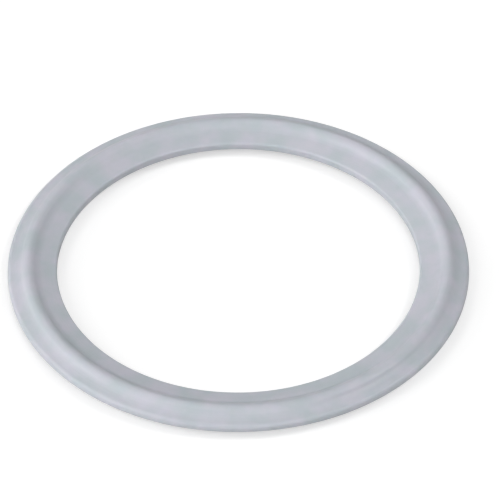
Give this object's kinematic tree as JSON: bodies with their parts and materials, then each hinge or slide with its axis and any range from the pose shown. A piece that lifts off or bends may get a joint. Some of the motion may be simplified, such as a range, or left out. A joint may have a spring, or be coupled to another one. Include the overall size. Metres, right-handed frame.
{
  "type": "sanitary clamp gasket",
  "caption": "Flat moulded rubber ring with a rounded bead on each face, which centres and seals the joint between clamped sanitary ferrules.",
  "frame": {"origin": "centre of the bore, on the mid-plane between the two faces", "axes": "+Z along the axis of the tube; the two faces are alike and the ring is round, so X and Y may point any way"},
  "size_m": [0.091, 0.091, 0.005],
  "materials": {
    "silicone": "white silicone rubber, moulded, satin matt, opaque"
  },
  "bodies": {
    "root": {"clamp_gasket": "silicone"}
  },
  "joints": []
}
